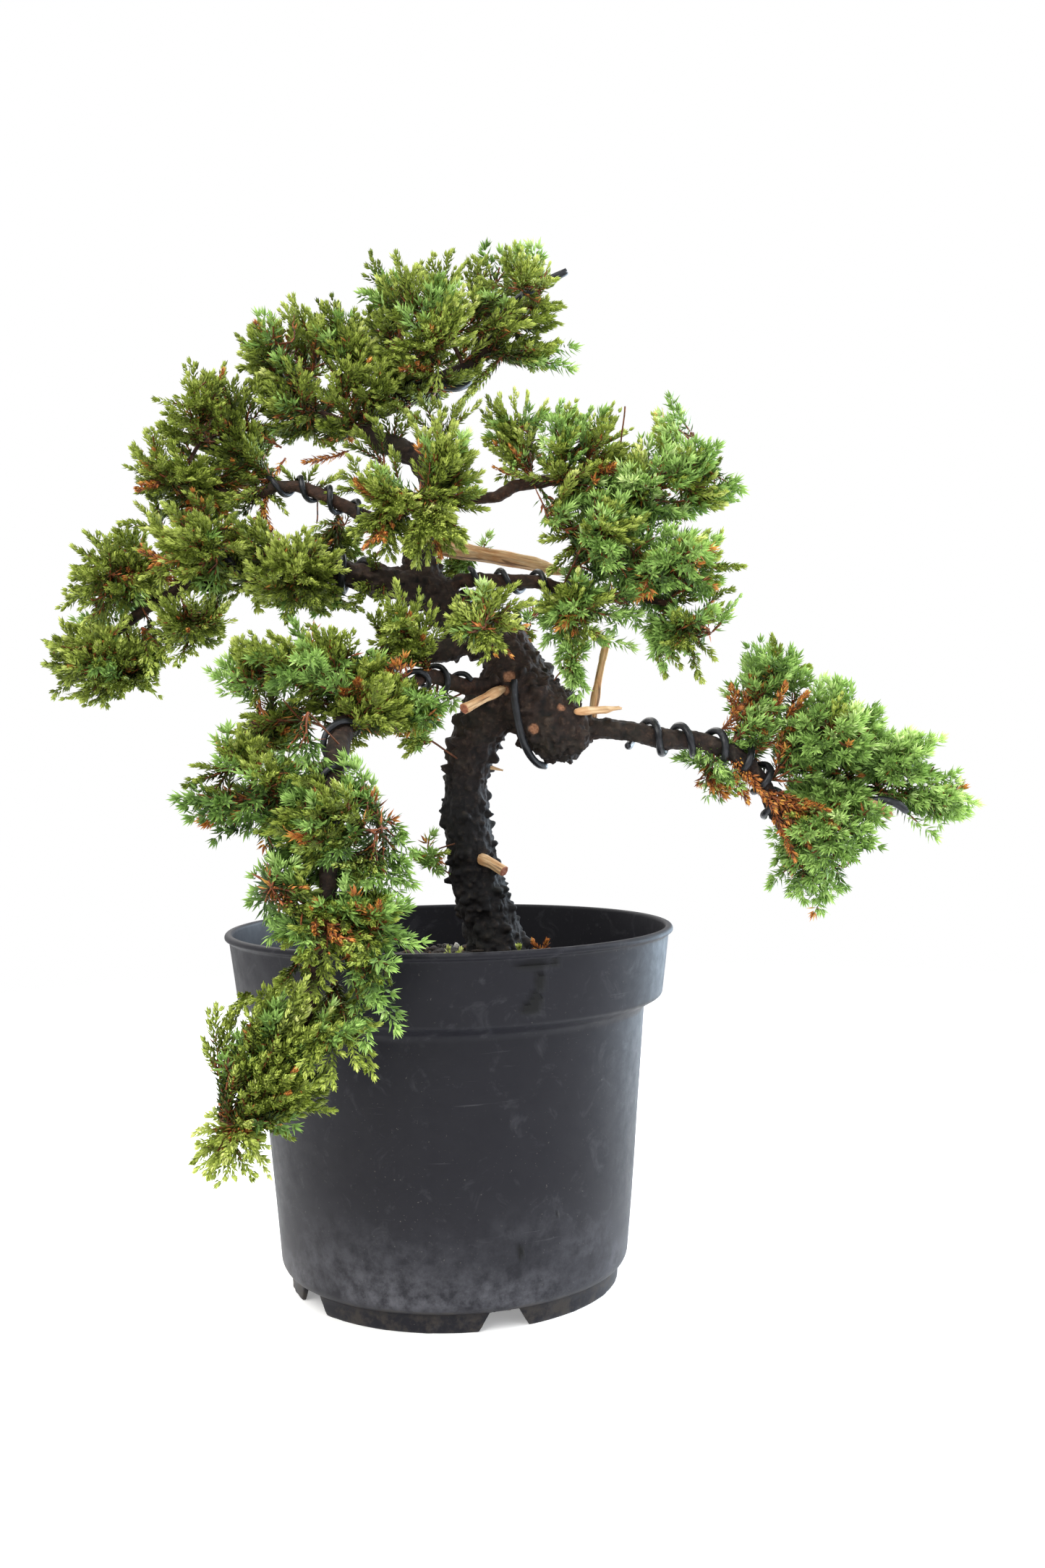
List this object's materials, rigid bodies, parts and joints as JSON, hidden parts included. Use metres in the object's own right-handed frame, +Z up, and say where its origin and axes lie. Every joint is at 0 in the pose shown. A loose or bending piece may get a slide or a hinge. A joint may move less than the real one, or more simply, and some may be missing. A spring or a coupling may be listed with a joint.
{
  "type": "potted juniper bonsai",
  "caption": "Trained dwarf juniper with a bent trunk, wired branches, pads of needles and a cascading branch, in a round plastic nursery pot",
  "frame": {"origin": "on the standing surface, below the middle of the whole plant's outline seen from above; the pot's axis is 31 mm to -X and 21 mm to +Y of it", "axes": "+Z up; the plant's front, from which it is meant to be seen, faces -Y; the long right branch points to +X"},
  "size_m": [0.423, 0.241, 0.462],
  "materials": {
    "pot_plastic": "satin",
    "potting_mix": "matte",
    "bark": "matte",
    "bleached_wood": "matte",
    "black_wire": "satin",
    "needles": "matte"
  },
  "bodies": {
    "root": {"anchor_wire_end": "black_wire", "apex_wire": "black_wire", "back_sprig": "needles", "cascade_branch": "bark", "cascade_wire": "black_wire", "centre_twig": "bark", "crown_left_branch": "bark", "drooping_sprig": "needles", "elbow_wire": "black_wire", "foliage_apex": "needles", "foliage_cascade_lower": "needles", "foliage_cascade_middle": "needles", "foliage_cascade_tip": "needles", "foliage_cascade_upper": "needles", "foliage_centre_high": "needles", "foliage_centre_left": "needles", "foliage_centre_right": "needles", "foliage_crown_left": "needles", "foliage_left_arm": "needles", "foliage_left_inner": "needles", "foliage_left_tip": "needles", "foliage_lower_left": "needles", "foliage_right_back": "needles", "foliage_right_crown": "needles", "foliage_right_low": "needles", "foliage_right_middle": "needles", "foliage_right_tip": "needles", "foliage_right_upper": "needles", "foliage_upper_left": "needles", "front_jin": "bleached_wood", "front_twig": "bark", "hanging_sprig": "needles", "high_sprig": "needles", "left_arm": "bark", "left_arm_wire": "black_wire", "left_upper_branch": "bark", "left_upper_wire": "black_wire", "lower_left_branch": "bark", "lower_left_wire": "black_wire", "nursery_pot": "pot_plastic", "potting_mix": "potting_mix", "right_branch": "bark", "right_branch_wire": "black_wire", "right_fork": "bark", "right_middle_branch": "bark", "right_middle_wire": "black_wire", "right_upper_branch": "bark", "splinter_jin": "bleached_wood", "tall_jin": "bleached_wood", "trunk": "bark", "trunk_sliver": "bleached_wood", "trunk_sprig": "needles", "trunk_stub": "bleached_wood", "trunk_wire": "black_wire", "upper_jin": "bleached_wood"}
  },
  "joints": []
}
